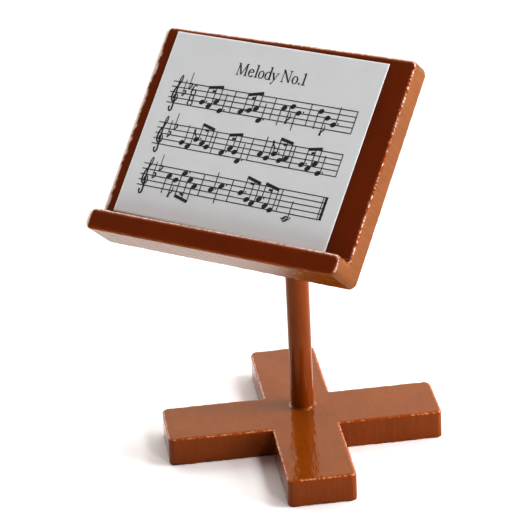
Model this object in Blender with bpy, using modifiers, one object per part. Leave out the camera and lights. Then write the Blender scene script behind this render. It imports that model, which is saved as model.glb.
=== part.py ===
"""A small painted wooden music stand, in metres, +Z up.

A cross sawn from one board stands flat on the table. A dowel is glued into a blind hole in it, and
carries a leaning desk: a board with a ledge glued along its lower edge and a printed sheet glued on
its face. The origin is the centre of the cross's underside, -Y is the side that the desk faces.
"""

from math import cos, pi, radians, sin

import bmesh
import bpy
from mathutils import Matrix, Vector

# Cross
BAR_LENGTH = 0.0473
BAR_WIDTH = 0.0116
BASE_THICKNESS = 0.0050
CROSS_TURN = radians(45)

# Post: a dowel, set a little off the cross's centre
POST_DIAMETER = 0.0040
POST_X = -0.0009
POST_Y = 0.0016
POST_END_CHAMFER = 0.0003
SEAT_HEIGHT = 0.0619  # where the post's axis meets the back of the board

# Desk
BOARD_WIDTH = 0.0493
BOARD_HEIGHT = 0.0377
BOARD_THICKNESS = 0.0040
LEDGE_HEIGHT = 0.0037
LEDGE_DEPTH = 0.0033
DESK_LEAN = radians(42)  # back from upright
DESK_ROLL = radians(4)  # the desk sits this far off level
SEAT_BELOW_TOP = 0.00824
SEAT_OFF_CENTRE = 0.0010

# Printed sheet
SHEET_THICKNESS = 0.0003
SHEET_LEFT_MARGIN = 0.0023
SHEET_RIGHT_MARGIN = 0.0049
SHEET_TOP_MARGIN = 0.0010

# Joints
GLUE_LINE = 0.0001
BASE_SOCKET_FLOOR = 0.0010
BOARD_SOCKET_WALL = 0.0007
BEAD_WIDTH = 0.0009
BEAD_HEIGHT = 0.0008
BEAD_LIP = 0.0001

# Rounding
CORNER_ROUND = 0.0008
INNER_CORNER_ROUND = 0.0003
EDGE_ROUND = 0.0004
CORNER_STEPS = 5
EDGE_STEPS = 2
ROUND_SEGMENTS = 64
WELD = 1e-6
CUT_MARGIN = 0.002
SMOOTH_BELOW = radians(40)
CHAMFER_ABOVE = radians(60)

PAINT = (0.33, 0.09, 0.02, 1.0)
PAINT_ROUGHNESS = 0.25
GLUE_ROUGHNESS = 0.2
CARD = (0.80, 0.80, 0.81, 1.0)
CARD_ROUGHNESS = 0.8

POST_RADIUS = POST_DIAMETER / 2
SOCKET_RADIUS = POST_RADIUS + GLUE_LINE
POST_AXIS = Vector((POST_X, POST_Y, 0.0))


def clear_scene():
    for found in list(bpy.data.objects):
        bpy.data.objects.remove(found, do_unlink=True)


def new_collection(name):
    made = bpy.data.collections.new(name)
    bpy.context.scene.collection.children.link(made)
    return made


def new_material(name, colour, roughness):
    made = bpy.data.materials.new(name)
    made.use_nodes = True
    shader = made.node_tree.nodes["Principled BSDF"]
    shader.inputs["Base Color"].default_value = colour
    shader.inputs["Roughness"].default_value = roughness
    shader.inputs["Metallic"].default_value = 0.0
    return made


def add_object(name, data, collection, material=None):
    made = bpy.data.objects.new(name, data)
    collection.objects.link(made)
    if material:
        data.materials.append(material)
    return made


def rounded_outline(corners):
    """Points of a closed outline that turns left. Each corner is (x, y, radius)."""
    points = []
    for i, (x, y, radius) in enumerate(corners):
        corner = Vector((x, y))
        before = (Vector(corners[i - 1][:2]) - corner).normalized()
        after = (Vector(corners[(i + 1) % len(corners)][:2]) - corner).normalized()
        half = before.angle(after) / 2
        centre = corner + (before + after).normalized() * (radius / sin(half))
        start = corner + before * (radius / abs(cos(half) / sin(half))) - centre
        sweep = pi - 2 * half
        if before.cross(after) > 0:
            sweep = -sweep
        for step in range(CORNER_STEPS + 1):
            turn = Matrix.Rotation(sweep * step / CORNER_STEPS, 2)
            points.append(centre + turn @ start)
    return points


def slab(name, outline, thickness, edge_round, collection, material):
    """A flat piece of that outline with rounded edges, its middle plane at z = 0, as a mesh."""
    curve = bpy.data.curves.new(name, "CURVE")
    curve.dimensions = "2D"
    curve.fill_mode = "BOTH"
    curve.extrude = thickness / 2 - edge_round
    curve.bevel_depth = edge_round
    curve.bevel_resolution = EDGE_STEPS
    curve.offset = -edge_round
    spline = curve.splines.new("POLY")
    spline.points.add(len(outline) - 1)
    for point, place in zip(spline.points, outline):
        point.co = (place.x, place.y, 0.0, 1.0)
    spline.use_cyclic_u = True
    drawn = add_object(name + "_outline", curve, collection)
    bpy.context.view_layer.update()
    graph = bpy.context.evaluated_depsgraph_get()
    mesh = bpy.data.meshes.new_from_object(drawn.evaluated_get(graph))
    bpy.data.objects.remove(drawn)
    shape = bmesh.new()
    shape.from_mesh(mesh)
    bmesh.ops.remove_doubles(shape, verts=shape.verts, dist=WELD)
    bmesh.ops.recalc_face_normals(shape, faces=shape.faces)
    shape.to_mesh(mesh)
    shape.free()
    mesh.name = name
    mesh.shade_smooth()
    mesh.set_sharp_from_angle(angle=SMOOTH_BELOW)
    return add_object(name, mesh, collection, material)


def rectangle(left, right, bottom, top, radius):
    places = ((left, bottom), (right, bottom), (right, top), (left, top))
    return rounded_outline([(x, y, radius) for x, y in places])


def cylinder(name, radius, bottom, top, collection, material=None):
    """A round bar on the post's axis from one height to another."""
    mesh = bpy.data.meshes.new(name)
    shape = bmesh.new()
    bmesh.ops.create_cone(
        shape,
        cap_ends=True,
        segments=ROUND_SEGMENTS,
        radius1=radius,
        radius2=radius,
        depth=top - bottom,
    )
    shape.to_mesh(mesh)
    shape.free()
    mesh.shade_smooth()
    mesh.set_sharp_from_angle(angle=SMOOTH_BELOW)
    made = add_object(name, mesh, collection, material)
    made.location = POST_AXIS + Vector((0.0, 0.0, (top + bottom) / 2))
    return made


def cut(piece, cutter, name):
    cutter.hide_render = True
    cutter.display_type = "WIRE"
    modifier = piece.modifiers.new(name, "BOOLEAN")
    modifier.operation = "DIFFERENCE"
    modifier.object = cutter


def board_socket_depth():
    """How far the post goes into the board, along its axis, with a wall left in front of it."""
    to_normal = pi / 2 - DESK_LEAN
    room = BOARD_THICKNESS - BOARD_SOCKET_WALL - SOCKET_RADIUS * sin(to_normal)
    return room / cos(to_normal)


def desk_matrix():
    """The desk's frame: X along the ledge, Y up the slope, Z out of the board's face. Its origin is
    the middle of the face's lower edge, and it hangs from where the post meets the board's back."""
    turn = Matrix.Rotation(pi / 2 - DESK_LEAN, 4, "X") @ Matrix.Rotation(DESK_ROLL, 4, "Z")
    seat = Vector((SEAT_OFF_CENTRE, BOARD_HEIGHT - SEAT_BELOW_TOP, -BOARD_THICKNESS))
    place = POST_AXIS + Vector((0.0, 0.0, SEAT_HEIGHT)) - turn @ seat
    return Matrix.Translation(place) @ turn


def build_cross(collection, cutters, material):
    reach = BAR_LENGTH / 2
    side = BAR_WIDTH / 2
    arm = (
        (side, side, INNER_CORNER_ROUND),
        (side, reach, CORNER_ROUND),
        (-side, reach, CORNER_ROUND),
    )
    corners = []
    for quarter in range(4):
        turn = Matrix.Rotation(quarter * pi / 2, 2)
        for x, y, radius in arm:
            place = turn @ Vector((x, y))
            corners.append((place.x, place.y, radius))
    outline = rounded_outline(corners)
    cross = slab("base_cross", outline, BASE_THICKNESS, EDGE_ROUND, collection, material)
    cross.location.z = BASE_THICKNESS / 2
    cross.rotation_euler.z = CROSS_TURN
    top = BASE_THICKNESS + CUT_MARGIN
    socket = cylinder("base_socket_cutter", SOCKET_RADIUS, BASE_SOCKET_FLOOR, top, cutters)
    cut(cross, socket, "post socket")


def build_post(collection, material):
    bottom = BASE_SOCKET_FLOOR + GLUE_LINE
    top = SEAT_HEIGHT + board_socket_depth() - GLUE_LINE
    post = cylinder("post", POST_RADIUS, bottom, top, collection, material)
    bevel = post.modifiers.new("end chamfers", "BEVEL")
    bevel.width = POST_END_CHAMFER
    bevel.segments = 1
    bevel.limit_method = "ANGLE"
    bevel.angle_limit = CHAMFER_ABOVE


def build_board(desk, collection, cutters, material):
    half = BOARD_WIDTH / 2
    outline = rectangle(-half, half, 0.0, BOARD_HEIGHT, CORNER_ROUND)
    board = slab("desk_board", outline, BOARD_THICKNESS, EDGE_ROUND, collection, material)
    board.parent = desk
    board.location.z = -BOARD_THICKNESS / 2
    top = SEAT_HEIGHT + board_socket_depth()
    bottom = SEAT_HEIGHT - BOARD_HEIGHT
    socket = cylinder("board_socket_cutter", SOCKET_RADIUS, bottom, top, cutters)
    cut(board, socket, "post socket")


def build_ledge(desk, collection, material):
    """The strip along the board's lower edge, its section drawn in the XY plane and turned across."""
    outline = rectangle(GLUE_LINE, LEDGE_DEPTH, 0.0, LEDGE_HEIGHT, EDGE_ROUND)
    ledge = slab("desk_ledge", outline, BOARD_WIDTH, EDGE_ROUND, collection, material)
    ledge.parent = desk
    ledge.rotation_euler.y = -pi / 2


def build_sheet(desk, collection, material):
    left = -BOARD_WIDTH / 2 + SHEET_LEFT_MARGIN
    right = BOARD_WIDTH / 2 - SHEET_RIGHT_MARGIN
    bottom = LEDGE_HEIGHT + GLUE_LINE
    top = BOARD_HEIGHT - SHEET_TOP_MARGIN
    mesh = bpy.data.meshes.new("music_sheet")
    shape = bmesh.new()
    size = Matrix.Diagonal((right - left, top - bottom, SHEET_THICKNESS, 1.0))
    bmesh.ops.create_cube(shape, size=1.0, matrix=size)
    shape.to_mesh(mesh)
    shape.free()
    sheet = add_object("music_sheet", mesh, collection, material)
    sheet.parent = desk
    height = GLUE_LINE + SHEET_THICKNESS / 2
    sheet.location = ((left + right) / 2, (bottom + top) / 2, height)


def build_foot_bead(collection, material):
    """The ring of glue where the post leaves the cross: a hollow fillet turned about the post."""
    inner = POST_RADIUS + GLUE_LINE
    bottom = BASE_THICKNESS + GLUE_LINE
    profile = [(inner, bottom), (inner, bottom + BEAD_HEIGHT)]
    for step in range(CORNER_STEPS + 1):
        angle = pi + step * pi / 2 / CORNER_STEPS
        across = inner + BEAD_WIDTH + (BEAD_WIDTH - BEAD_LIP) * cos(angle)
        up = bottom + BEAD_HEIGHT + (BEAD_HEIGHT - BEAD_LIP) * sin(angle)
        profile.append((across, up))
    profile.append((inner + BEAD_WIDTH, bottom))
    mesh = bpy.data.meshes.new("foot_glue_bead")
    count = len(profile)
    edges = [(i, (i + 1) % count) for i in range(count)]
    mesh.from_pydata([(x, 0.0, z) for x, z in profile], edges, [])
    bead = add_object("foot_glue_bead", mesh, collection, material)
    bead.location = POST_AXIS
    screw = bead.modifiers.new("turn", "SCREW")
    screw.axis = "Z"
    screw.steps = ROUND_SEGMENTS
    screw.render_steps = ROUND_SEGMENTS
    screw.use_merge_vertices = True
    screw.merge_threshold = WELD


def build_desk_bead(desk, collection, cutters, material):
    """The glue round the post where it enters the board's back: a low dome with the post's own
    hole through it, cut flat just short of the board."""
    stretch = 1 / cos(pi / 2 - DESK_LEAN)
    across = POST_RADIUS + GLUE_LINE + BEAD_WIDTH
    along = across * stretch
    mesh = bpy.data.meshes.new("desk_glue_bead")
    shape = bmesh.new()
    bmesh.ops.create_uvsphere(
        shape,
        u_segments=ROUND_SEGMENTS,
        v_segments=ROUND_SEGMENTS // 4,
        radius=1.0,
        matrix=Matrix.Diagonal((across, along, 2 * BEAD_HEIGHT, 1.0)),
    )
    shape.to_mesh(mesh)
    shape.free()
    bead = add_object("desk_glue_bead", mesh, collection, material)
    bead.parent = desk
    bead.rotation_euler.z = -DESK_ROLL
    bead.location = (SEAT_OFF_CENTRE, BOARD_HEIGHT - SEAT_BELOW_TOP, -BOARD_THICKNESS)
    face = bpy.data.meshes.new("board_back_cutter")
    shape = bmesh.new()
    size = Matrix.Diagonal((BOARD_WIDTH, BOARD_HEIGHT, BOARD_THICKNESS, 1.0))
    bmesh.ops.create_cube(shape, size=1.0, matrix=size)
    shape.to_mesh(face)
    shape.free()
    back = add_object("board_back_cutter", face, cutters)
    back.parent = desk
    back.location = bead.location + Vector((0.0, 0.0, BOARD_THICKNESS / 2 - GLUE_LINE))
    cut(bead, back, "flat against the board")
    top = SEAT_HEIGHT + BOARD_HEIGHT / 2
    bottom = SEAT_HEIGHT - BOARD_HEIGHT / 2
    hole = cylinder("bead_hole_cutter", SOCKET_RADIUS, bottom, top, cutters)
    cut(bead, hole, "post hole")


def build_music_stand():
    clear_scene()
    parts = new_collection("music_stand")
    cutters = new_collection("cutters")
    wood = new_material("brown_enamel", PAINT, PAINT_ROUGHNESS)
    paper = new_material("printed_paper", CARD, CARD_ROUGHNESS)
    glue = new_material("painted_glue", PAINT, GLUE_ROUGHNESS)
    build_cross(parts, cutters, wood)
    build_post(parts, wood)
    desk = add_object("desk_frame", None, parts)
    desk.matrix_world = desk_matrix()
    build_board(desk, parts, cutters, wood)
    build_ledge(desk, parts, wood)
    build_sheet(desk, parts, paper)
    build_foot_bead(parts, glue)
    build_desk_bead(desk, parts, cutters, glue)


build_music_stand()
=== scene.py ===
"""The looks of a small painted wooden music stand.

Wooden pieces are fine grids of a box or of joined boxes, whose edges are rounded and then worn by
noise, as sawn wood looks under thick enamel. The sheet's print is a set of thin ink shapes.
Lengths are in metres, apart from the print's, which are in millimetres on the sheet.
"""

from math import cos, pi, radians, sin
from typing import Callable, NamedTuple

import bmesh
import bpy
import numpy as np
from mathutils import Matrix, Vector, noise


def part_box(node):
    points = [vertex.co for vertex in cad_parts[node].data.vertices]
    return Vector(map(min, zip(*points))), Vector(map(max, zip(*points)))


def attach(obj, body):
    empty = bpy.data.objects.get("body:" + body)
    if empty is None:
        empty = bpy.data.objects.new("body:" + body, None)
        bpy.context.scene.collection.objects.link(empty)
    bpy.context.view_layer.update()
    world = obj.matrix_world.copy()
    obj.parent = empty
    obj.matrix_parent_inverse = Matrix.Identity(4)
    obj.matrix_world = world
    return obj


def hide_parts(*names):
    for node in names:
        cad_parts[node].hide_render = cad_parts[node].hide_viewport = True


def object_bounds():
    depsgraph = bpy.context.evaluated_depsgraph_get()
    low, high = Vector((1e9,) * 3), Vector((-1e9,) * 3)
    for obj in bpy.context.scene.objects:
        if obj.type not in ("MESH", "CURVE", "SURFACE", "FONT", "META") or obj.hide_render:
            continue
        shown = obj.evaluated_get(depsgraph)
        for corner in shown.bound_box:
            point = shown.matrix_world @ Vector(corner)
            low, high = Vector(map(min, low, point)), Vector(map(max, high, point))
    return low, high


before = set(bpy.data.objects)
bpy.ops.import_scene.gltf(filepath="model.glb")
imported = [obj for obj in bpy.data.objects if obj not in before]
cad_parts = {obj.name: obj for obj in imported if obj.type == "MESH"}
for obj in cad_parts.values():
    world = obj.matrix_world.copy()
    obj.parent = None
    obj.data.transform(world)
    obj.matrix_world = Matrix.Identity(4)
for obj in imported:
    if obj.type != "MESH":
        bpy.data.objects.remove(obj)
cad_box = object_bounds()

MM = 0.001
BODY = "root"

# Turns and sizes of the CAD pieces
CROSS_TURN = Matrix.Rotation(radians(45), 4, "Z")
DESK_TURN = Matrix.Rotation(radians(48), 4, "X") @ Matrix.Rotation(radians(4), 4, "Z")
BAR_WIDTH = 11.6 * MM

# Mesh spacing
GRID_STEP = 0.2 * MM
ROUND_LINES = 6
POST_SIDES = 128
POST_STEP = 0.4 * MM
SHARP_ANGLE = radians(55)
SEED_STEP = 17.3  # how far apart two seeds lie in the noise
TINY = 1e-12  # keeps divisions from failing
NEARER = 1e-6  # by what share of an edge one box has to be nearer than another
TOUCHING = 1e-7

# Rounding of the wood. The desk's thick rims of paint stand out past it by the two spreads.
CROSS_CORNER = 1.1 * MM
DESK_CORNER = 1.3 * MM
EDGE_ROUND = 0.3 * MM
FOOT_ROUND = 0.15 * MM
LEFT_RIM = 0.5 * MM
LEFT_SPREAD = 0.3 * MM
TOP_RIM = 0.6 * MM
TOP_SPREAD = 0.2 * MM
BACK_RIM = 0.8 * MM
RIM_TURN = 1.4  # how soon a rim is at its full size past a corner
BEVEL_POWER = 1.15  # 1 is a flat bevel, 2 a round edge

# Beads of paint along a sawn edge, saw marks on the sides, and swells all over
BEAD_DEPTH = 0.08 * MM
BEAD_PITCH = 1.35 * MM
BEAD_REACH = 0.4 * MM
BEAD_GAIN = 2.4
FINE_SHARE = 0.2
PATCH_PITCH = 5 * BEAD_PITCH  # of stretches with more and with fewer beads and spots
SAW_DEPTH = 0.016 * MM
SAW_PITCH = 0.45 * MM
SAW_LENGTH = 1.0  # far longer than the wood is thick, so that the marks run straight across
SWELL_DEPTH = 0.020 * MM
SWELL_PITCH = 6.0 * MM

# Painted highlights: rims along the upper edges, glints on their crests, and sheen along the desk's
# left and top
RIM_HIGHLIGHT_REACH = 0.32 * MM
CREST_REACH = 0.22 * MM
CREST_PITCH = 0.85 * MM
CREST_SHARES = (0.5, 0.9, 0.8)  # of waves along the edge, of patches and of noise
CREST_LEVEL = 0.5
CREST_GAIN = 3.0
WAVE_WANDER = 1.6  # in turns
FACE_GAIN = 3.0
TOP_GAIN = 1.3
LEFT_BAND = 1.0 * MM
LEFT_PITCH = 1.3 * MM
LEFT_NIBBLE = 0.3

# Nicks along the lower edges, with painted shade in them
NICK_DEPTH = 0.05 * MM
NICK_PITCH = 1.1 * MM
NICK_REACH = 0.38 * MM
NICK_LEVEL = 0.22  # of the noise, past which there is a nick
NICK_GAIN = 10.0

# Post: how uneven it is, and over what lengths
DENT_DEPTH = 0.012 * MM
DENT_ROUND = 2 * MM
DENT_LENGTH = 9 * MM
DENT_BROAD = 0.8
DENT_FINE = Vector((3.0, 3.0, 6.0))
DENT_FINE_SHARE = 0.35

# Glue and paint: the fillets round the post, and what gathers between the ledge and the board
FOOT_FILLET = 0.8 * MM
DESK_FILLET = 1.0 * MM
FILLET_STEPS = 8
FILLET_UNEVEN = 0.3
FILLET_LUMPS = 1.3
FILLET_IN_POST = 0.05 * MM
FILLET_IN_WOOD = 0.03 * MM
FILLET_ROOT = 0.2 * MM
GATHER_SIZE = 0.55 * MM
GATHER_UNEVEN = 0.45
GATHER_PITCH = 1.1 * MM
GATHER_PLACES = 40
GATHER_STEPS = 6
GATHER_OVERLAP = 0.05 * MM
GATHER_ROOT = 0.1 * MM
GATHER_GAP = 0.1 * MM
GATHER_TIP = 0.3  # its size at its two ends, as a share
GATHER_TAPER = 6

# Sheet
SHEET_TILT = radians(-0.75)
SHEET_TRIM = 0.27 * MM
SHEET_ROUND = 0.12 * MM
SHEET_CURL = 0.05 * MM
CURL_REACH = 1.2 * MM
COCKLE_DEPTH = 0.012 * MM
COCKLE_PITCH = 7 * MM

# Tones of the enamel, of its painted highlights and of the painted shade in its nicks
DESK_TONE = (0.195, 0.031, 0.003)
DESK_END_TONE = (0.205, 0.062, 0.007)
TOP_TONE = (0.228, 0.057, 0.003)
SIDE_TONE = (0.213, 0.045, 0.003)
# Painted highlights: glints along the upper edges, and sheen on the desk's left and top
DESK_HIGHLIGHT = (0.93, 0.80, 0.71)
BASE_HIGHLIGHT = (0.72, 0.39, 0.22)
# Painted highlight on the rims of the upper edges
RIM_HIGHLIGHT_TONE = (0.340, 0.060, 0.003)
# Painted shade in the nicks along the lower edges
NICK_SHADE_TONE = (0.040, 0.009, 0.002)

# Stretch of the enamel's ripples: along y on the flat pieces, along z on the post
GRAIN_ACROSS = (1.0, 0.3, 1.0)
GRAIN_UP = (1.0, 1.0, 0.15)

# Studio: each light's name, place, size and power in watts
LIGHTS = (
    ("key", (0.62, 0.31, 0.24), (0.45, 0.40), 4.6),
    ("front", (0.78, -0.25, 0.61), (0.12, 0.12), 1.6),
    ("overhead", (0.42, 0.30, 0.75), (0.30, 0.30), 2.3),
    ("left", (-0.84, 0.02, 0.24), (0.80, 0.60), 1.8),
)
ROOM_TONE = (1.0, 0.985, 0.95, 1.0)
ROOM_LEVELS = (0.15, 1.40)
ROOM_TURN = 0.6  # cosine at which the room is at its brightest
FLOOR_TONE = (0.96, 0.96, 0.97, 1.0)
FLOOR_REACH = 3.0
EXPOSURE = 0.45
GAMMA = 0.8

# Camera: place, then heading, fall, roll and lens in millimetres
CAMERA_PLACE = (0.23185, -0.30086, 0.21336)
CAMERA_HEADING = radians(38.35)
CAMERA_FALL = radians(-25.42)
CAMERA_ROLL = radians(2.8)
CAMERA_LENS = 169.46
CAMERA_SENSOR = 36.0

# Print, in millimetres on the sheet
INK_LIFT = 0.04
INK_DEPTH = 0.03
STAVE_LEFT = 2.8
STAVE_RIGHT = 39.5
STAVE_BOTTOMS = (20.12, 12.72, 5.32)
SPACE = 0.945
LINE_WIDTH = 0.14
END_LINE_WIDTH = 0.45
END_LINE_INSET = 0.2
END_LINE_GAP = 0.75
CLEF_LEFT = 1.3
FLATS_LEFT = (2.75, 3.6)
FLATS_SPACES = (2, 3.5)
TIME_LEFT = 4.6
LEDGER_REACH = 0.85
STEM_WIDTH = 0.14
STEM_LENGTH = 3.1
STEM_OFF = 0.46
BEAM_STEM = 2.45
BEAM_WIDTH = 0.5
BEAM_SLOPE = 0.25
STUB_WIDTH = 0.36
STUB_LENGTH = 0.65
STUB_DROP = 0.68
BAR_GAP = 1.1
NOTE_ROOM = {"B": 1.45, "E": 1.7, "Q": 1.85, "H": 4.2}
DOT_ROOM = 0.4
TUNES_LEFT = (9.7, 8.6, 8.6)
TUNES_END = 0.8

# The tune of each stave. | is a bar line. B is a beamed group, E an eighth, Q a quarter and H a half,
# each number is a note's half spaces over the lowest line, and a point after it is its dot.
TUNES = (
    "B:2.,1,3 Q:0. | B:1.,2,3 Q:-1. | Q:5 E:6 Q:4. | Q:6 E:4 Q:2.",
    "Q:2 E:1 B:4.,3,2 | B:1.,3,2 Q:-1. | Q:3 E:2 B:4.,2,3 | B:2.,1,3 Q:0.",
    "Q:5 E:4 B:7.,5,3 | Q:3. Q:5. | B:4.,2,1 B:3.,1,0 | H:-2.",
)
TITLE = "Melody No.1"
TITLE_CENTRE = 21.2
TITLE_BASE = 26.75
TITLE_HEIGHT = 2.1


# ---- materials -----------------------------------------------------------------------------------


def new_material(name):
    """A material, its node tree and its shader."""
    made = bpy.data.materials.new(name)
    made.use_nodes = True
    tree = made.node_tree
    return made, tree, tree.nodes["Principled BSDF"]


def noise_node(tree, vector, scale, detail=3.0, stretch=None):
    """A noise texture over places in metres. scale is in turns per metre, times stretch if given."""
    if stretch:
        mapping = tree.nodes.new("ShaderNodeMapping")
        mapping.inputs["Scale"].default_value = stretch
        tree.links.new(vector, mapping.inputs["Vector"])
        vector = mapping.outputs["Vector"]
    made = tree.nodes.new("ShaderNodeTexNoise")
    made.inputs["Scale"].default_value = scale
    made.inputs["Detail"].default_value = detail
    tree.links.new(vector, made.inputs["Vector"])
    return made.outputs["Fac"]


def ramp(tree, factor, stops):
    """A colour or grey ramp over a 0 to 1 factor. Each stop is (place, value)."""
    made = tree.nodes.new("ShaderNodeValToRGB")
    elements = made.color_ramp.elements
    while len(elements) < len(stops):
        elements.new(0.5)
    for element, (place, value) in zip(elements, stops):
        element.position = place
        element.color = (*value, 1.0) if isinstance(value, tuple) else (value, value, value, 1.0)
    tree.links.new(factor, made.inputs["Fac"])
    return made.outputs["Color"]


def mix_colour(tree, factor, first, second, blend="MIX"):
    """Mixes two colours, each a value or a socket."""
    made = tree.nodes.new("ShaderNodeMix")
    made.data_type = "RGBA"
    made.blend_type = blend
    for socket, value in (("Factor_Float", factor), ("A_Color", first), ("B_Color", second)):
        place = next(s for s in made.inputs if s.identifier == socket)
        if isinstance(value, (float, tuple)):
            place.default_value = value
        else:
            tree.links.new(value, place)
    return next(s for s in made.outputs if s.identifier == "Result_Color")


def bump(tree, height, strength, distance, below=None):
    """A normal bent by a 0 to 1 height of that distance, over the normal below if there is one."""
    made = tree.nodes.new("ShaderNodeBump")
    made.inputs["Strength"].default_value = strength
    made.inputs["Distance"].default_value = distance
    tree.links.new(height, made.inputs["Height"])
    if below:
        tree.links.new(below, made.inputs["Normal"])
    return made.outputs["Normal"]


def attribute(tree, name, output="Fac"):
    """A layer of the mesh, as mesh_object stores it."""
    made = tree.nodes.new("ShaderNodeAttribute")
    made.attribute_name = name
    return made.outputs[output]


def enamel_colour(tree, place, grain, face_tone, end_tone, highlight_tone):
    """Clouds and brush streaks all over, saw marks on the sides, then the rims and crests, which are
    painted highlights, and the nicks, which hold painted shade.
    """
    clouds = ramp(tree, noise_node(tree, place, 130, 4), ((0.3, 0.90), (0.7, 1.06)))
    body = mix_colour(tree, attribute(tree, "end"), (*face_tone, 1.0), (*end_tone, 1.0))
    body = mix_colour(tree, 1.0, body, clouds, "MULTIPLY")
    streaks = ramp(tree, noise_node(tree, place, 1500, 4, grain), ((0.35, 0.97), (0.7, 1.04)))
    body = mix_colour(tree, 1.0, body, streaks, "MULTIPLY")
    saw = ramp(tree, noise_node(tree, place, 3600, 2, (1.0, 1.0, 0.05)), ((0.35, 0.93), (0.65, 1.07)))
    body = mix_colour(tree, attribute(tree, "end"), body, saw, "MULTIPLY")
    # Here rims and crests get painted highlights, and nicks get painted shade
    for layer, tone in (("rim", RIM_HIGHLIGHT_TONE), ("painted_highlight", highlight_tone), ("nick_and_shade", NICK_SHADE_TONE)):
        body = mix_colour(tree, attribute(tree, layer), body, (*tone, 1.0))
    return body


def enamel(name, grain, face_tone, end_tone, highlight_tone):
    """Thick glossy brown enamel over wood. grain stretches the ripples along the brush. The tones are
    for the flat faces, the sawn sides and the painted highlights along the upper edges."""
    made, tree, shader = new_material(name)
    place = attribute(tree, "own", "Vector")
    colour = enamel_colour(tree, place, grain, face_tone, end_tone, highlight_tone)
    tree.links.new(colour, shader.inputs["Base Color"])
    rough = ramp(tree, noise_node(tree, place, 420, 3), ((0.3, 0.06), (0.75, 0.13)))
    tree.links.new(rough, shader.inputs["Roughness"])
    shader.inputs["IOR"].default_value = 1.34
    shader.inputs["Specular Tint"].default_value = (1.0, 0.9, 0.7, 1.0)
    ripple = bump(tree, noise_node(tree, place, 1300, 2, grain), 0.9, 0.05 * MM)
    dust = ramp(tree, noise_node(tree, place, 2600, 1), ((0.70, 0.0), (0.78, 1.0)))
    tree.links.new(bump(tree, dust, 0.5, 0.02 * MM, ripple), shader.inputs["Normal"])
    return made


def paper():
    """White printing paper: fine fibres, a soft mottle and a slight sheen."""
    made, tree, shader = new_material("printed_paper")
    place = attribute(tree, "own", "Vector")
    mottle = noise_node(tree, place, 160, 5)
    tone = ramp(tree, mottle, ((0.3, (0.775, 0.785, 0.805)), (0.7, (0.805, 0.815, 0.835))))
    tree.links.new(tone, shader.inputs["Base Color"])
    fibres = noise_node(tree, place, 5200, 5, (1.0, 0.35, 1.0))
    tree.links.new(ramp(tree, fibres, ((0.3, 0.5), (0.7, 0.62))), shader.inputs["Roughness"])
    tree.links.new(bump(tree, fibres, 0.25, 0.01 * MM), shader.inputs["Normal"])
    return made


def ink():
    """Black printing ink with a slightly uneven cover."""
    made, tree, shader = new_material("printing_ink")
    place = attribute(tree, "own", "Vector")
    cover = noise_node(tree, place, 3000, 3)
    tone = ramp(tree, cover, ((0.3, (0.012, 0.011, 0.012)), (0.75, (0.035, 0.033, 0.035))))
    tree.links.new(tone, shader.inputs["Base Color"])
    tree.links.new(ramp(tree, cover, ((0.3, 0.42), (0.7, 0.55))), shader.inputs["Roughness"])
    return made


# ---- meshes --------------------------------------------------------------------------------------


def extent(node, turn):
    """Lowest and highest corner of a CAD node, along the axes of a turned frame."""
    back = np.array(turn.to_3x3().inverted())
    points = np.array([v.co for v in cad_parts[node].data.vertices]) @ back.T
    return Vector(points.min(0)), Vector(points.max(0))


def grid_lines(stops, round_size):
    """Places from the first stop to the last, a step apart, and close together near each stop."""
    places = [np.array(stops)]
    for low, high in zip(stops, stops[1:]):
        reach = min(round_size, (high - low) / 2)
        places.append(np.linspace(low, low + reach, ROUND_LINES))
        places.append(np.linspace(high - reach, high, ROUND_LINES))
        count = max(2, round((high - low - 2 * reach) / GRID_STEP) + 1)
        places.append(np.linspace(low + reach, high - reach, count))
    return np.unique(np.concatenate(places).round(8))


def filled_cells(lines, boxes):
    """Which cells of the grid have their middles in one of the boxes."""
    middles = np.meshgrid(*((line[1:] + line[:-1]) / 2 for line in lines), indexing="ij")
    filled = np.zeros(middles[0].shape, bool)
    for low, high in boxes:
        inside = np.ones_like(filled)
        for axis in range(3):
            inside &= (middles[axis] > low[axis]) & (middles[axis] < high[axis])
        filled |= inside
    return filled


def skin(lines, filled):
    """Points and outward quads of the surface between filled and empty cells."""
    sizes = [len(line) for line in lines]
    padded = np.pad(filled, 1).astype(int)
    quads = []
    for axis in range(3):
        across, along = (axis + 1) % 3, (axis + 2) % 3
        step = np.diff(padded, axis=axis)
        for sign in (-1, 1):
            places = np.array(np.nonzero(step == sign))
            places[across] -= 1
            places[along] -= 1
            turn = ((0, 0), (1, 0), (1, 1), (0, 1))[:: -sign]
            corners = []
            for more_across, more_along in turn:
                corner = places.copy()
                corner[across] += more_across
                corner[along] += more_along
                corners.append(np.ravel_multi_index(corner, sizes))
            quads.append(np.array(corners).T)
    used, quads = np.unique(np.concatenate(quads), return_inverse=True)
    index = np.unravel_index(used, sizes)
    points = np.stack([line[i] for line, i in zip(lines, index)], axis=1)
    return points, quads.reshape(-1, 4)


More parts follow.
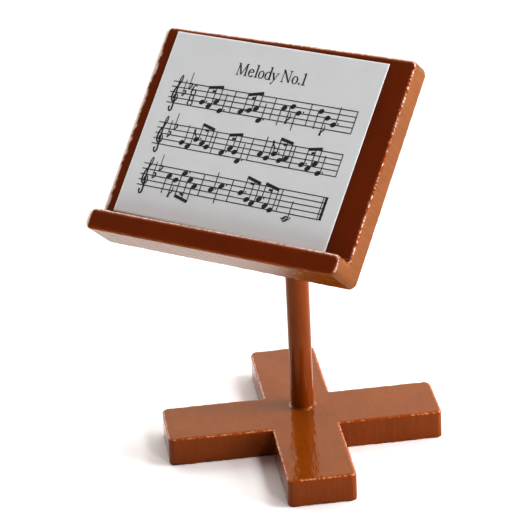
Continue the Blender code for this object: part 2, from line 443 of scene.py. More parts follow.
def rounded(points, boxes, corner, edge_size):
    """Moves points on sharp boxes to rounded ones: upright edges get the corner radius, and the edges
    round a top or an underside get edge_size(outward x, outward y, side), where side is 1 on top and
    -1 underneath, and are nearly flat bevels. Gives the points and their outward directions."""
    best = np.full(len(points), np.inf)
    moved = points.copy()
    outward = np.zeros_like(points)
    for low, high in boxes:
        low, high = np.array(low), np.array(high)
        core = np.clip(points[:, :2], low[:2] + corner, high[:2] - corner)
        away = points[:, :2] - core
        reach = np.abs(away).max(axis=1)
        length = np.maximum(np.linalg.norm(away, axis=1), TINY)
        unit = away / length[:, None]
        side = np.where(points[:, 2] > (low[2] + high[2]) / 2, 1.0, -1.0)
        edge = edge_size(unit[:, 0], unit[:, 1], side)
        middle = np.clip(points[:, 2], low[2] + edge, high[2] - edge)
        up = points[:, 2] - middle
        out = np.maximum(reach - (corner - edge), 0.0)
        size = np.maximum(np.hypot(out, up), TINY)
        bevel = (out**BEVEL_POWER + np.abs(up) ** BEVEL_POWER) ** (1 / BEVEL_POWER)
        depth = np.hypot(np.maximum(length - (corner - edge), 0.0), up) / edge
        share = np.minimum(np.maximum(out, np.abs(up)), edge) / np.maximum(bevel, TINY)
        flat = np.minimum(reach, corner - edge) + out * share
        target = np.column_stack([core + unit * flat[:, None], middle + up * share])
        direction = np.column_stack([unit * out[:, None], up]) / size[:, None]
        nearer = depth < best - NEARER
        best[nearer] = depth[nearer]
        moved[nearer] = target[nearer]
        outward[nearer] = direction[nearer]
    return moved, outward


def edge_distance(points, boxes):
    """How far each surface point is from the nearest edge of the joined boxes."""
    farthest = np.zeros(len(points))
    for low, high in boxes:
        gaps = np.concatenate([points - np.array(low), np.array(high) - points], axis=1)
        gaps.sort(axis=1)
        inside = gaps[:, 0] > -TOUCHING
        farthest[inside] = np.maximum(farthest, gaps[:, 1])[inside]
    return farthest


def noise_at(points, pitch, seed):
    """Smooth noise from -1 to 1 at each point. pitch is one length, or one for each axis."""
    scaled = points / np.array(pitch) + seed * SEED_STEP
    return np.array([noise.noise(Vector(place)) for place in scaled])


def mesh_object(name, points, faces, matrix, material, **layers):
    """A smooth shaded object from points in a frame of its own. The frame's turn goes into the mesh, so
    that its box is a true one, and the layer "own" keeps the points as given for the material. Each of
    the other layers has one value for each point."""
    own = np.array([tuple(point) for point in points])
    turn = np.array(matrix)
    placed = own @ turn[:3, :3].T + turn[:3, 3]
    mesh = bpy.data.meshes.new(name)
    mesh.from_pydata(placed.tolist(), [], faces)
    mesh.attributes.new("own", "FLOAT_VECTOR", "POINT").data.foreach_set("vector", own.ravel())
    for layer_name, values in layers.items():
        layer = mesh.attributes.new(layer_name, "FLOAT", "POINT")
        layer.data.foreach_set("value", values.astype(np.float32))
    mesh.materials.append(material)
    mesh.shade_smooth()
    mesh.set_sharp_from_angle(angle=SHARP_ANGLE)
    made = bpy.data.objects.new(name, mesh)
    bpy.context.scene.collection.objects.link(made)
    return made


def finished(piece, slot, *nodes):
    """Says what a piece rides on and hides the CAD nodes that it stands for. slot, the finish that it
    takes, is not used.
    """
    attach(piece, BODY)
    if nodes:
        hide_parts(*nodes)


# ---- painted wood --------------------------------------------------------------------------------


class Coat(NamedTuple):
    """How a part is turned, rounded, painted and worn."""

    turn: Matrix
    material: bpy.types.Material
    seed: int
    down: tuple[int, int, int]  # the way that its lower side faces, in its own frame
    corner: float  # radius of its upright edges
    edge_size: Callable  # size of its other edges, as rounded asks for it
    left_highlight: float  # how strong the painted highlight is in a band along the left
    top_sheen: float  # how strong the painted sheen is on the bevel along the top
    nick_and_shade_level: float  # how strong the nicks along the lower edges and their painted shade are


def fade(distance, reach):
    """1 at no distance, and nearly 0 from twice the reach."""
    return np.exp(-((distance / reach) ** 2))


def waves(points, pitch, seed):
    """Uneven waves from -1 to 1 along every edge, where x or y is fixed and so x + y runs along it."""
    turns = (points[:, 0] + points[:, 1]) / pitch
    return np.cos(2 * pi * (turns + WAVE_WANDER * noise_at(points, 3 * pitch, seed)))


def highlight_marks(sharp, outward, boxes, from_edge, from_face, patches, fine, coat):
    """How much painted highlight each point has, as two layers: painted glints on the crests of the
    upper edges, and painted sheen on the top's bevel and in the band on the left."""
    on_waves, on_patches, on_noise = CREST_SHARES
    spots = on_waves * waves(sharp, CREST_PITCH, coat.seed + 6) + on_patches * patches
    spots += on_noise * noise_at(sharp, CREST_PITCH, coat.seed + 8)
    # Painted glints: pale spots on the crests of the upper edges
    painted_highlight = fade(from_edge, CREST_REACH) * fade(from_face, CREST_REACH)
    painted_highlight *= np.clip(CREST_GAIN * (spots - CREST_LEVEL), 0.0, 1.0)
    # Painted sheen on the bevel along the top and in a band along the left
    facing = np.clip(FACE_GAIN * outward[:, 2], 0.0, 1.0)
    bevel = coat.top_sheen * np.clip(TOP_GAIN * outward[:, 1], 0.0, 1.0) ** 3 * facing
    top = np.clip(bevel * (1.0 + fine), 0.0, 1.0)
    from_left = np.min([np.abs(sharp[:, 0] - low[0]) for low, _ in boxes], axis=0)
    nibbles = LEFT_NIBBLE * noise_at(sharp, LEFT_PITCH, coat.seed + 9)
    band = LEFT_BAND * (1.0 + FINE_SHARE * fine + nibbles)
    left = coat.left_highlight * np.clip((band - from_left) / GRID_STEP, 0.0, 1.0) * facing
    return painted_highlight, np.maximum(top, left)


def edge_marks(sharp, outward, boxes, from_edge, patches, fine, coat):
    """How far each point is on the rim of an upper edge, which is a painted highlight, in a painted
    glint or sheen, and in a nick along a lower edge, which holds painted shade."""
    from_face = np.min([np.abs(sharp[:, 2] - high[2]) for _, high in boxes], axis=0)
    up = -np.array(coat.down)
    from_foot = sharp @ up
    from_foot -= min(from_foot.min(), *(np.array(corner) @ up for box in boxes for corner in box))
    painted_highlight, painted_sheen = highlight_marks(sharp, outward, boxes, from_edge, from_face, patches, fine, coat)
    painted_highlight = np.maximum(painted_highlight * (from_foot > BEAD_REACH), painted_sheen)
    # A painted highlight along the rims of the upper edges
    rim = fade(from_edge, RIM_HIGHLIGHT_REACH) * fade(from_face, RIM_HIGHLIGHT_REACH)
    # Nicks along the lower edges, dented and painted dark as shade
    bites = noise_at(sharp, NICK_PITCH, coat.seed + 7) - NICK_LEVEL
    nick_and_shade = coat.nick_and_shade_level * fade(from_edge, NICK_REACH) * fade(from_foot, NICK_REACH)
    nick_and_shade *= np.clip(NICK_GAIN * bites, 0.0, 1.0)
    return {"rim": rim, "painted_highlight": painted_highlight, "nick_and_shade": nick_and_shade}


def wooden(name, lines, own, boxes, coat):
    """A painted wooden piece: the boxes in own, rounded and worn as the whole of boxes."""
    sharp, quads = skin(lines, filled_cells(lines, own))
    points, outward = rounded(sharp, boxes, coat.corner, coat.edge_size)
    from_edge = edge_distance(sharp, boxes)
    bead = np.minimum(1.0, BEAD_GAIN * np.abs(noise_at(sharp, BEAD_PITCH, coat.seed)))
    fine = noise_at(sharp, BEAD_PITCH / 2, coat.seed + 4)
    patches = 0.5 + 0.5 * noise_at(sharp, PATCH_PITCH, coat.seed + 1)
    wear = fade(from_edge, BEAD_REACH) * (bead - 0.5 + FINE_SHARE * fine) * (0.5 + patches)
    ends = np.linalg.norm(outward[:, :2], axis=1) ** 2
    saw = ends * noise_at(sharp, (SAW_PITCH, SAW_PITCH, SAW_LENGTH), coat.seed + 2)
    swell = noise_at(sharp, SWELL_PITCH, coat.seed + 3)
    marks = edge_marks(sharp, outward, boxes, from_edge, patches, fine, coat)
    relief = BEAD_DEPTH * wear + SAW_DEPTH * saw + SWELL_DEPTH * swell - NICK_DEPTH * marks["nick_and_shade"]
    points = points + outward * relief[:, None]
    return mesh_object(name, points, quads.tolist(), coat.turn, coat.material, end=ends, **marks)


def cross_edge(across, along, side):
    """The cross's edges, sharper underneath."""
    return np.where(side > 0, EDGE_ROUND, FOOT_ROUND)


def desk_edge(across, along, side):
    """The desk's edges, sanded back at the front on the left and along the top, and along the back."""
    left = np.clip(-RIM_TURN * across, 0.0, 1.0) * (side > 0)
    top = np.clip(RIM_TURN * along, 0.0, 1.0)
    rim = np.where(side > 0, TOP_RIM, BACK_RIM)
    return EDGE_ROUND + np.maximum((LEFT_RIM - EDGE_ROUND) * left, (rim - EDGE_ROUND) * top)


# ---- pieces --------------------------------------------------------------------------------------


def make_cross(material):
    """The base, with its arms along x and y of a frame turned by 45 degrees."""
    low, high = extent("base_cross", CROSS_TURN)
    reach = (high.x - low.x) / 2
    side = BAR_WIDTH / 2
    boxes = (
        ((-reach, -side, low.z), (reach, side, high.z)),
        ((-side, -reach, low.z), (side, reach, high.z)),
    )
    stops = (-reach, -side, side, reach)
    across = grid_lines(stops, CROSS_CORNER)
    lines = (across, across, grid_lines((low.z, high.z), EDGE_ROUND))
    coat = Coat(CROSS_TURN, material, seed=1, down=(0, 0, -1), corner=CROSS_CORNER,
                edge_size=cross_edge, left_highlight=0.0, top_sheen=0.0, nick_and_shade_level=1.0)
    piece = wooden("base_cross_painted", lines, boxes, boxes, coat)
    finished(piece, "brown_enamel", "base_cross")


def make_desk(material):
    """The board and its ledge. One film of paint runs over both, so they are rounded as one. Its
    thick rims on the left and along the top stand out past the wood."""
    board = extent("desk_board", DESK_TURN)
    ledge = extent("desk_ledge", DESK_TURN)
    board[0].x -= LEFT_SPREAD
    ledge[0].x -= LEFT_SPREAD
    board[1].y += TOP_SPREAD
    seam = board[1].z
    boxes = (board, ((ledge[0].x, ledge[0].y, board[0].z), ledge[1]))
    strip = ((ledge[0].x, ledge[0].y, seam), ledge[1])
    lines = (
        grid_lines((board[0].x, board[1].x), DESK_CORNER),
        grid_lines((board[0].y, ledge[1].y, board[1].y), DESK_CORNER),
        grid_lines((board[0].z, seam, ledge[1].z), EDGE_ROUND),
    )
    coat = Coat(DESK_TURN, material, seed=5, down=(0, -1, 0), corner=DESK_CORNER,
                edge_size=desk_edge, left_highlight=0.85, top_sheen=0.45, nick_and_shade_level=0.3)
    for node, box in (("desk_board", board), ("desk_ledge", strip)):
        piece = wooden(f"{node}_painted", lines, (box,), boxes, coat)
        finished(piece, "brown_enamel", node)


def turned(name, rings, matrix, material, closed):
    """A tube through rings of points. closed joins the last ring to the first, else both are capped."""
    count = len(rings[0])
    points = [point for ring in rings for point in ring]
    faces = []
    last = len(rings) if closed else len(rings) - 1
    for i in range(last):
        for j in range(count):
            one, two = i * count, (i + 1) % len(rings) * count
            faces.append((one + j, one + (j + 1) % count, two + (j + 1) % count, two + j))
    if not closed:
        faces.append(tuple(reversed(range(count))))
        faces.append(tuple(range(len(points) - count, len(points))))
    return mesh_object(name, points, faces, matrix, material)


def make_post(material):
    """The dowel, slightly uneven under its paint. Gives its centre and radius."""
    low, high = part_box("post")
    centre = (low + high) / 2
    radius = (high.x - low.x) / 2
    rings = []
    for height in np.arange(low.z, high.z, POST_STEP):
        ring = []
        for step in range(POST_SIDES):
            angle = 2 * pi * step / POST_SIDES
            out = Vector((cos(angle), sin(angle), 0.0))
            place = out * radius / DENT_ROUND + Vector((0.0, 0.0, height / DENT_LENGTH))
            dent = noise.noise(place * DENT_BROAD) + DENT_FINE_SHARE * noise.noise(place * DENT_FINE)
            ring.append(out * (radius + DENT_DEPTH * dent) + Vector((0.0, 0.0, height)))
        rings.append(ring)
    matrix = Matrix.Translation((centre.x, centre.y, 0.0))
    piece = turned("post_painted", rings, matrix, material, closed=False)
    finished(piece, "brown_enamel", "post")
    return centre, radius


def make_fillet(name, node, centre, radius, point, normal, up, size, material, seed):
    """The ring of glue and paint between the post and a plane through point. up is 1 where the post
    leaves the plane upwards, and -1 downwards."""
    rings = []
    for side in range(POST_SIDES):
        angle = 2 * pi * side / POST_SIDES
        out = Vector((cos(angle), sin(angle), 0.0))
        foot = Vector((centre.x, centre.y, 0.0)) + out * (radius - FILLET_IN_POST)
        foot.z = point.z - ((foot - point).x * normal.x + (foot - point).y * normal.y) / normal.z
        along = (out - Vector((0.0, 0.0, out.dot(normal) / normal.z))).normalized()
        lump = noise.noise(out * FILLET_LUMPS + Vector((0.0, 0.0, seed)))
        reach = size * (1.0 + FILLET_UNEVEN * lump)
        start = foot + along * reach - normal * FILLET_IN_WOOD
        end = foot + Vector((0.0, 0.0, up * reach))
        ring = []
        for t in (i / FILLET_STEPS for i in range(FILLET_STEPS + 1)):
            ring.append(start * (1 - t) ** 2 + foot * 2 * t * (1 - t) + end * t**2)
        ring.append(end - out * FILLET_ROOT)
        ring.append(foot - (out + normal) * FILLET_ROOT)
        rings.append(ring if up < 0 else ring[::-1])
    piece = turned(name, rings, Matrix.Identity(4), material, closed=True)
    finished(piece, "painted_glue", node)


def make_fillets(centre, radius, material):
    """The glue round the post where it leaves the base, and where it enters the board's back."""
    upwards = Vector((0.0, 0.0, 1.0))
    base_top = Vector((0.0, 0.0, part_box("base_cross")[1].z))
    make_fillet("foot_fillet_painted", "foot_glue_bead", centre, radius, base_top,
                upwards, 1, FOOT_FILLET, material, 2.0)
    low, _ = extent("desk_board", DESK_TURN)
    board_back = DESK_TURN @ Vector((0.0, 0.0, low.z))
    backwards = -(DESK_TURN.to_3x3() @ upwards)
    make_fillet("desk_fillet_painted", "desk_glue_bead", centre, radius, board_back,
                backwards, -1, DESK_FILLET, material, 5.0)


def make_corner_fillets(material):
    """Paint gathered in the corner between the ledge and the board, on both sides of the sheet."""
    board = extent("desk_board", DESK_TURN)
    ledge = extent("desk_ledge", DESK_TURN)
    sheet = extent("music_sheet", DESK_TURN)
    spans = (
        ("left", board[0].x + EDGE_ROUND, sheet[0].x - GATHER_GAP),
        ("right", sheet[1].x + GATHER_GAP, board[1].x - EDGE_ROUND),
    )
    for name, start, end in spans:
        rings = []
        for place in np.linspace(start, end, GATHER_PLACES):
            share = 1.0 + GATHER_UNEVEN * noise.noise(Vector((place / GATHER_PITCH, 0.0, 3.0)))
            from_end = min(place - start, end - place) / (end - start)
            share *= min(1.0, GATHER_TIP + GATHER_TAPER * from_end)
            corner = Vector((place, ledge[1].y - GATHER_OVERLAP, board[1].z - GATHER_OVERLAP))
            ring = [corner + Vector((0.0, -GATHER_ROOT, -GATHER_ROOT))]
            for t in (i / GATHER_STEPS for i in range(GATHER_STEPS + 1)):
                ring.append(corner + Vector((0.0, (1 - t) ** 2, t**2)) * GATHER_SIZE * share)
            rings.append(ring)
        piece = turned(f"corner_paint_{name}", rings, DESK_TURN, material, closed=False)
        finished(piece, "painted_glue")


def sheet_matrix():
    """The sheet's frame: its lower left corner, X along the ledge, Y up, Z out of the board's face.
    It is turned a little about its lower right corner."""
    low, high = extent("music_sheet", DESK_TURN)
    corner = Matrix.Translation((high.x, low.y, low.z))
    turn = Matrix.Rotation(SHEET_TILT, 4, "Z")
    return DESK_TURN @ corner @ turn @ Matrix.Translation((low.x - high.x, 0.0, 0.0))


def sheet_edge(across, along, side):
    """The sheet's edges, all alike."""
    return np.full_like(side, SHEET_ROUND)


def make_sheet(material):
    """The sheet, stuck down in the middle, with its top and right edges standing slightly proud.
    Gives its thickness in millimetres."""
    low, high = extent("music_sheet", DESK_TURN)
    size = high - low - Vector((0.0, SHEET_TRIM, 0.0))
    box = ((0.0, 0.0, 0.0), tuple(size))
    lines = (
        grid_lines((0.0, size.x), SHEET_ROUND)[::2],
        grid_lines((0.0, size.y), SHEET_ROUND)[::2],
        grid_lines((0.0, size.z), SHEET_ROUND),
    )
    lines[0][-1], lines[1][-1] = size.x, size.y
    sharp, quads = skin(lines, filled_cells(lines, (box,)))
    points, _ = rounded(sharp, (box,), SHEET_ROUND, sheet_edge)
    from_edge = np.minimum(size.x - sharp[:, 0], size.y - sharp[:, 1])
    points[:, 2] += SHEET_CURL * np.exp(-from_edge / CURL_REACH)
    points[:, 2] += COCKLE_DEPTH * (1 + noise_at(sharp * (1, 1, 0), COCKLE_PITCH, 9))
    piece = mesh_object("music_sheet_paper", points, quads.tolist(), sheet_matrix(), material)
    finished(piece, "printed_paper", "music_sheet")
    return size.z / MM


# ---- print ---------------------------------------------------------------------------------------


def smooth_path(points, steps=6):
    """A Catmull-Rom curve through points, as a list of places."""
    knots = [Vector(p) for p in points]
    knots = [2 * knots[0] - knots[1], *knots, 2 * knots[-1] - knots[-2]]
    path = []
    for a, b, c, d in zip(knots, knots[1:], knots[2:], knots[3:]):
        square = 2 * a - 5 * b + 4 * c - d
        cube = 3 * b - a - 3 * c + d
        for t in (i / steps for i in range(steps)):
            path.append(0.5 * (2 * b + (c - a) * t + square * t**2 + cube * t**3))
    return [*path, knots[-2]]


def ellipse(centre, width, height, turn=0.0, start=0.0, end=2 * pi, steps=20):
    """Points of an ellipse or an arc of one, from one angle to another."""
    spin = Matrix.Rotation(turn, 2)
    path = []
    for i in range(steps + 1):
        angle = start + (end - start) * i / steps
        path.append(Vector(centre) + spin @ Vector((width / 2 * cos(angle), height / 2 * sin(angle))))
    return path


class Ink:
    """Flat closed shapes printed on the sheet, gathered into one mesh."""

    def __init__(self, name, height):
        self.name = name
        self.low = height + INK_LIFT - INK_DEPTH
        self.high = height + INK_LIFT
        self.points = []
        self.faces = []

    def add(self, left, right):
        """A closed strip between two rows of places."""
        first = len(self.points)
        count = len(left)
        for row, height in ((left, self.low), (right, self.low), (right, self.high), (left, self.high)):
            self.points += [(p[0] * MM, p[1] * MM, height * MM) for p in row]
        for i in range(count - 1):
            for side in range(4):
                one = first + side * count + i
                two = first + (side + 1) % 4 * count + i
                self.faces.append((one, one + 1, two + 1, two))
        ends = [first + side * count for side in range(4)]
        self.faces.append(tuple(ends))
        self.faces.append(tuple(end + count - 1 for end in reversed(ends)))

    def stroke(self, path, width):
        """A pen stroke along a path. width is one value, or a function of the share of the way."""
        path = [Vector(p) for p in path]
        left, right = [], []
        for i, place in enumerate(path):
            ahead = path[min(i + 1, len(path) - 1)] - path[max(i - 1, 0)]
            wide = width(i / (len(path) - 1)) if callable(width) else width
            side = Vector((-ahead.y, ahead.x)).normalized() * wide / 2
            left.append(place + side)
            right.append(place - side)
        self.add(left, right)

    def blob(self, centre, width, height, turn=0.0):
        """A filled ellipse, as a strip between its upper and its lower half."""
        upper = ellipse(centre, width, height, turn, pi, 0.0)
        lower = ellipse(centre, width, height, turn, pi, 2 * pi)
        self.add(upper, lower)

    def make(self, material):
        piece = mesh_object(self.name, self.points, self.faces, sheet_matrix(), material)
        finished(piece, "printed_paper")


def draw_stave(page, bottom, last):
    """Five lines and the line at their right end, with a thick one after it on the last stave."""
    for line in range(5):
        y = bottom + line * SPACE
        page.stroke(((STAVE_LEFT, y), (STAVE_RIGHT, y)), LINE_WIDTH)
    top = bottom + 4 * SPACE
    edge = STAVE_RIGHT - LINE_WIDTH / 2
    if last:
        thick = edge - END_LINE_INSET
        page.stroke(((thick, bottom), (thick, top)), END_LINE_WIDTH)
        edge -= END_LINE_GAP
    page.stroke(((edge, bottom), (edge, top)), LINE_WIDTH)


def draw_clef(page, x, bottom):
    """A slim treble clef round the second line."""
    shape = (
        (-0.55, -0.75), (-0.62, -1.15), (-0.25, -1.5), (0.12, -1.25), (0.16, -0.5), (0.02, 1.0),
        (-0.12, 2.6), (-0.16, 4.2), (0.05, 5.1), (0.34, 5.2), (0.36, 4.5), (0.05, 3.6), (-0.55, 2.7),
        (-0.85, 1.7), (-0.7, 0.75), (-0.15, 0.25), (0.4, 0.5), (0.58, 1.15), (0.25, 1.75),
        (-0.2, 1.6), (-0.32, 1.1), (-0.15, 0.8),
    )
    path = smooth_path([(x + a * SPACE * 0.82, bottom + b * SPACE) for a, b in shape])
    page.stroke(path, lambda t: 0.13 + 0.16 * abs(sin(pi * (2.2 * t + 0.1))))
    page.blob((x - 0.5 * SPACE, bottom - 0.85 * SPACE), 0.38, 0.38)


def draw_flat(page, x, y):
    """A flat sign: its stem and its bowl."""
    page.stroke(((x - 0.22, y + 2.6 * SPACE), (x - 0.22, y - 0.55 * SPACE)), 0.11)
    bowl = ((-0.22, 0.3), (0.0, 0.55), (0.25, 0.45), (0.24, 0.1), (0.0, -0.3), (-0.22, -0.55))
    path = smooth_path([(x + a, y + b * SPACE) for a, b in bowl])
    page.stroke(path, lambda t: 0.1 + 0.15 * sin(pi * t))


def draw_time(page, x, bottom):
    """Six eight, in upright numerals."""
    for centre, size in ((1.45, 0.78), (0.5, 0.92)):
        ring = ellipse((x, bottom + centre * SPACE), size, 0.95 * SPACE)
        page.stroke(ring, lambda t: 0.12 + 0.1 * abs(cos(2 * pi * t)))
    six = ellipse((x, bottom + 2.5 * SPACE), 0.9, 0.98 * SPACE)
    page.stroke(six, lambda t: 0.12 + 0.1 * abs(cos(2 * pi * t)))
    hook = smooth_path([(x - 0.42, bottom + 2.5 * SPACE), (x - 0.3, bottom + 3.4 * SPACE),
                        (x + 0.05, bottom + 3.9 * SPACE), (x + 0.38, bottom + 3.65 * SPACE)])
    page.stroke(hook, lambda t: 0.24 - 0.12 * t)


def read_tune(text):
    """The tune as a list of bars, each a list of (kind, [(step, dotted), ...])."""
    bars = []
    for bar in text.split("|"):
        groups = []
        for token in bar.split():
            kind, notes = token.split(":")
            groups.append((kind, [(int(n.rstrip(".")), n.endswith(".")) for n in notes.split(",")]))
        bars.append(groups)
    return bars


def advance(kind, dotted):
    """The room that a note takes: B in a beamed group, E an eighth, Q a quarter, H a half."""
    return NOTE_ROOM[kind] + (DOT_ROOM if dotted else 0.0)


def draw_head(page, x, y, dotted, hollow):
    """A note's head, and its dot."""
    if hollow:
        ring = ellipse((x, y), 1.02, 0.68, radians(32))
        page.stroke(ring, lambda t: 0.13 + 0.14 * abs(sin(2 * pi * t)))
    else:
        page.blob((x, y), 1.05, 0.8, radians(30))
    if dotted:
        page.blob((x + 0.85, y + 0.28), 0.26, 0.26)


def draw_stems(page, places, bottom, kind):
    """Stems, with a beam over a group or a flag on an eighth."""
    middle = bottom + 2 * SPACE
    up = sum(y for _, y in places) / len(places) < middle
    sign = 1 if up else -1
    stems = [(x + sign * STEM_OFF, y) for x, y in places]
    length = BEAM_STEM if kind == "B" else STEM_LENGTH
    tips = [y + sign * length for _, y in stems]
    if kind == "B":
        lift = max(tips) if up else min(tips)
        slope = (tips[-1] - tips[0]) / (stems[-1][0] - stems[0][0])
        slope = max(-BEAM_SLOPE, min(BEAM_SLOPE, slope))
        tips = [lift + slope * (x - (stems[0][0] + stems[-1][0]) / 2) for x, _ in stems]
        half = STEM_WIDTH / 2
        beam = ((stems[0][0] - half, tips[0]), (stems[-1][0] + half, tips[-1]))
        page.stroke(beam, BEAM_WIDTH)
        stub = stems[1][0]
        low = tips[1] - sign * STUB_DROP
        page.stroke(((stub - STUB_LENGTH, low - slope * STUB_LENGTH), (stub + half, low)), STUB_WIDTH)
    for (x, y), tip in zip(stems, tips):
        page.stroke(((x, y + sign * 0.1), (x, tip)), STEM_WIDTH)
    if kind == "E":
        x, tip = stems[0][0], tips[0]
        flag = ((0.0, 0.0), (0.1, -0.6), (0.55, -1.15), (0.42, -1.95))
        path = smooth_path([(x + a, tip + sign * b) for a, b in flag])
        page.stroke(path, lambda t: 0.3 * (1 - t) + 0.07)


def draw_tune(heads, lines, text, left, bottom, right):
    """One stave's notes, ledger lines and bar lines, spread from left to right."""
    bars = read_tune(text)
    total = sum(advance(kind, dotted) for bar in bars for kind, notes in bar for _, dotted in notes)
    spread = (right - left - BAR_GAP * (2 * len(bars) - 1)) / total
    x = left
    for number, bar in enumerate(bars):
        for kind, notes in bar:
            places = []
            for step, dotted in notes:
                y = bottom + step * SPACE / 2
                places.append((x, y))
                draw_head(heads, x, y, dotted, kind == "H")
                if step < -1:
                    ledger = bottom - SPACE
                    lines.stroke(((x - LEDGER_REACH, ledger), (x + LEDGER_REACH, ledger)), LINE_WIDTH)
                x += advance(kind, dotted) * spread
            draw_stems(heads, places, bottom, kind)
        if number < len(bars) - 1:
            x += BAR_GAP * 0.6
            bar_line = x - BAR_GAP / 2
            lines.stroke(((bar_line, bottom), (bar_line, bottom + 4 * SPACE)), LINE_WIDTH)
            x += BAR_GAP * 1.4


def letter_strokes():
    """Each letter's advance and strokes, in cap heights: (path, thin width, thick width)."""
    thin, thick = 0.055, 0.125

    def hair(*path):
        return (path, thin, thin)

    def stem(*path):
        return (path, thick, thick)

    def serif(x, y, half):
        return hair((x - half, y), (x + half, y))

    def ring(x, start=0.0, end=2 * pi):
        return (ellipse((x, 0.31), 0.44, 0.62, 0.0, start, end), thin, thick)

    return {
        " ": (0.3, []),
        ".": (0.26, [(((0.06, 0.07), (0.2, 0.07)), 0.14, 0.14)]),
        "1": (0.5, [
            stem((0.25, 0), (0.25, 1)),
            serif(0.25, 0.02, 0.17),
            hair((0.25, 0.98), (0.09, 0.86)),
        ]),
        "M": (1.12, [
            hair((0.12, 0), (0.14, 1)),
            stem((0.14, 1), (0.5, 0.06)),
            hair((0.5, 0.06), (0.86, 1)),
            stem((0.86, 1), (0.9, 0)),
            serif(0.12, 0.02, 0.12),
            serif(0.9, 0.02, 0.14),
            serif(0.09, 0.98, 0.07),
            serif(0.93, 0.98, 0.08),
        ]),
        "N": (1.0, [
            hair((0.14, 0), (0.14, 1)),
            stem((0.14, 1), (0.78, 0.02)),
            hair((0.78, 0), (0.78, 1)),
            serif(0.14, 0.02, 0.13),
            serif(0.1, 0.98, 0.08),
            serif(0.78, 0.98, 0.13),
        ]),
        "d": (0.66, [
            ring(0.29),
            stem((0.5, 0), (0.5, 1.06)),
            serif(0.55, 0.02, 0.09),
            serif(0.43, 1.03, 0.08),
        ]),
        "e": (0.6, [
            ring(0.28, 0.1 * pi, 1.8 * pi),
            hair((0.07, 0.36), (0.49, 0.38)),
        ]),
        "l": (0.34, [
            stem((0.17, 0), (0.17, 1.06)),
            serif(0.17, 0.02, 0.14),
            serif(0.1, 1.03, 0.08),
        ]),
        "o": (0.62, [ring(0.3)]),
        "y": (0.6, [
            stem((0.08, 0.62), (0.31, 0.02)),
            hair((0.54, 0.62), (0.31, 0.02), (0.16, -0.3)),
            serif(0.08, 0.6, 0.1),
            serif(0.54, 0.6, 0.09),
            (((0.18, -0.28), (0.06, -0.27)), 0.1, 0.1),
        ]),
    }


def draw_title(page):
    """The title's letters, centred over the staves."""
    letters = letter_strokes()
    width = sum(letters[c][0] for c in TITLE) * TITLE_HEIGHT
    x = TITLE_CENTRE - width / 2
    for letter in TITLE:
        step, strokes = letters[letter]
        for path, thin, thick in strokes:
            places = [(x + p[0] * TITLE_HEIGHT, TITLE_BASE + p[1] * TITLE_HEIGHT) for p in path]
            middle = (thin + thick) / 2 * TITLE_HEIGHT
            swing = (thick - thin) / 2 * TITLE_HEIGHT
            page.stroke(places, lambda t: middle + swing * cos(4 * pi * t))
        x += step * TITLE_HEIGHT


def make_print(height, material):
    """All that is printed on the sheet, whose face is at that height: four pieces of ink."""
    staves, signs, heads, title = (
        Ink(f"print_{name}", height) for name in ("staves", "signs", "notes", "title")
    )
    for number, bottom in enumerate(STAVE_BOTTOMS):
        last = number == len(STAVE_BOTTOMS) - 1
        draw_stave(staves, bottom, last)
        draw_clef(signs, STAVE_LEFT + CLEF_LEFT, bottom)
        for left, spaces in zip(FLATS_LEFT, FLATS_SPACES):
            draw_flat(signs, STAVE_LEFT + left, bottom + spaces * SPACE)
        right = STAVE_RIGHT - TUNES_END - last
        draw_tune(heads, staves, TUNES[number], TUNES_LEFT[number], bottom, right)
    draw_time(signs, STAVE_LEFT + TIME_LEFT, STAVE_BOTTOMS[0])
    draw_title(title)
    for part in (staves, signs, heads, title):
        part.make(material)


# ---- studio --------------------------------------------------------------------------------------


def make_floor():
    """A plain pale floor without gloss."""
    material, _, shader = new_material("studio_floor")
    shader.inputs["Base Color"].default_value = FLOOR_TONE
    shader.inputs["Roughness"].default_value = 0.9
    shader.inputs["Specular IOR Level"].default_value = 0.0
    mesh = bpy.data.meshes.new("studio_floor")
    shape = bmesh.new()
    bmesh.ops.create_grid(shape, x_segments=1, y_segments=1, size=FLOOR_REACH)
    shape.to_mesh(mesh)
    shape.free()
    mesh.materials.append(material)
    floor = bpy.data.objects.new("studio_floor", mesh)
    bpy.context.scene.collection.objects.link(floor)


def make_world(away):
    """A pale room: bright in the level direction away, and darker towards all others."""
    world = bpy.data.worlds.new("studio_room")
    bpy.context.scene.world = world
    world.use_nodes = True
    tree = world.node_tree
    place = tree.nodes.new("ShaderNodeTexCoord").outputs["Generated"]
    dot = tree.nodes.new("ShaderNodeVectorMath")
    dot.operation = "DOT_PRODUCT"
    tree.links.new(place, dot.inputs[0])
    dot.inputs[1].default_value = away
    level = tree.nodes.new("ShaderNodeMapRange")
    level.interpolation_type = "SMOOTHSTEP"
    level.inputs["From Min"].default_value = 0.0
    level.inputs["From Max"].default_value = ROOM_TURN
    level.inputs["To Min"].default_value = ROOM_LEVELS[0]
    level.inputs["To Max"].default_value = ROOM_LEVELS[1]
    tree.links.new(dot.outputs["Value"], level.inputs["Value"])
    tree.links.new(level.outputs["Result"], tree.nodes["Background"].inputs["Strength"])
    tree.nodes["Background"].inputs["Color"].default_value = ROOM_TONE


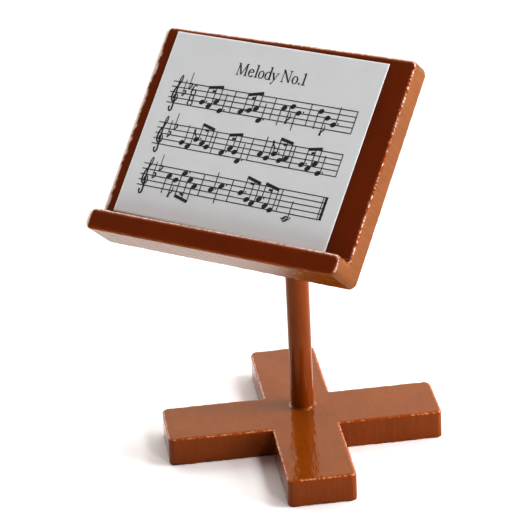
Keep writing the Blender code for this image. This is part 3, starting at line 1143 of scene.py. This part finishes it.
def make_light(name, place, size, power, target):
    """A soft rectangular light that faces the target."""
    data = bpy.data.lights.new(name, "AREA")
    data.shape = "RECTANGLE"
    data.size, data.size_y = size
    data.energy = power
    light = bpy.data.objects.new(name, data)
    bpy.context.scene.collection.objects.link(light)
    light.location = place
    light.rotation_mode = "QUATERNION"
    light.rotation_quaternion = (target - Vector(place)).to_track_quat("-Z", "Y")


def make_camera():
    """The camera, in front of the stand and to its right, looking down at it."""
    data = bpy.data.cameras.new("camera")
    data.sensor_width = CAMERA_SENSOR
    data.lens = CAMERA_LENS
    data.clip_start = 0.01
    camera = bpy.data.objects.new("camera", data)
    bpy.context.scene.collection.objects.link(camera)
    turn = Matrix.Rotation(CAMERA_HEADING, 4, "Z") @ Matrix.Rotation(CAMERA_FALL, 4, "X")
    turn = turn @ Matrix.Rotation(CAMERA_ROLL, 4, "Y") @ Matrix.Rotation(radians(90), 4, "X")
    camera.matrix_world = Matrix.Translation(CAMERA_PLACE) @ turn
    bpy.context.scene.camera = camera
    return camera


def make_studio():
    """Camera, room, lights, floor and the way that the picture is shown."""
    camera = make_camera()
    middle = (cad_box[0] + cad_box[1]) / 2
    away = middle - camera.location
    away.z = 0.0
    make_world(away.normalized())
    for name, place, size, power in LIGHTS:
        make_light(name, place, size, power, middle)
    make_floor()
    view = bpy.context.scene.view_settings
    view.view_transform = "Standard"
    view.exposure = EXPOSURE
    view.gamma = GAMMA


def make_stand():
    """The whole stand, from the base up."""
    level_paint = enamel("brown_enamel", GRAIN_ACROSS, TOP_TONE, SIDE_TONE, BASE_HIGHLIGHT)
    desk_paint = enamel("brown_enamel_desk", GRAIN_ACROSS, DESK_TONE, DESK_END_TONE, DESK_HIGHLIGHT)
    upright_paint = enamel("brown_enamel_post", GRAIN_UP, SIDE_TONE, SIDE_TONE, BASE_HIGHLIGHT)
    make_cross(level_paint)
    make_desk(desk_paint)
    post_centre, post_radius = make_post(upright_paint)
    make_fillets(post_centre, post_radius, level_paint)
    make_corner_fillets(desk_paint)
    sheet_top = make_sheet(paper())
    make_print(sheet_top, ink())


make_studio()
make_stand()
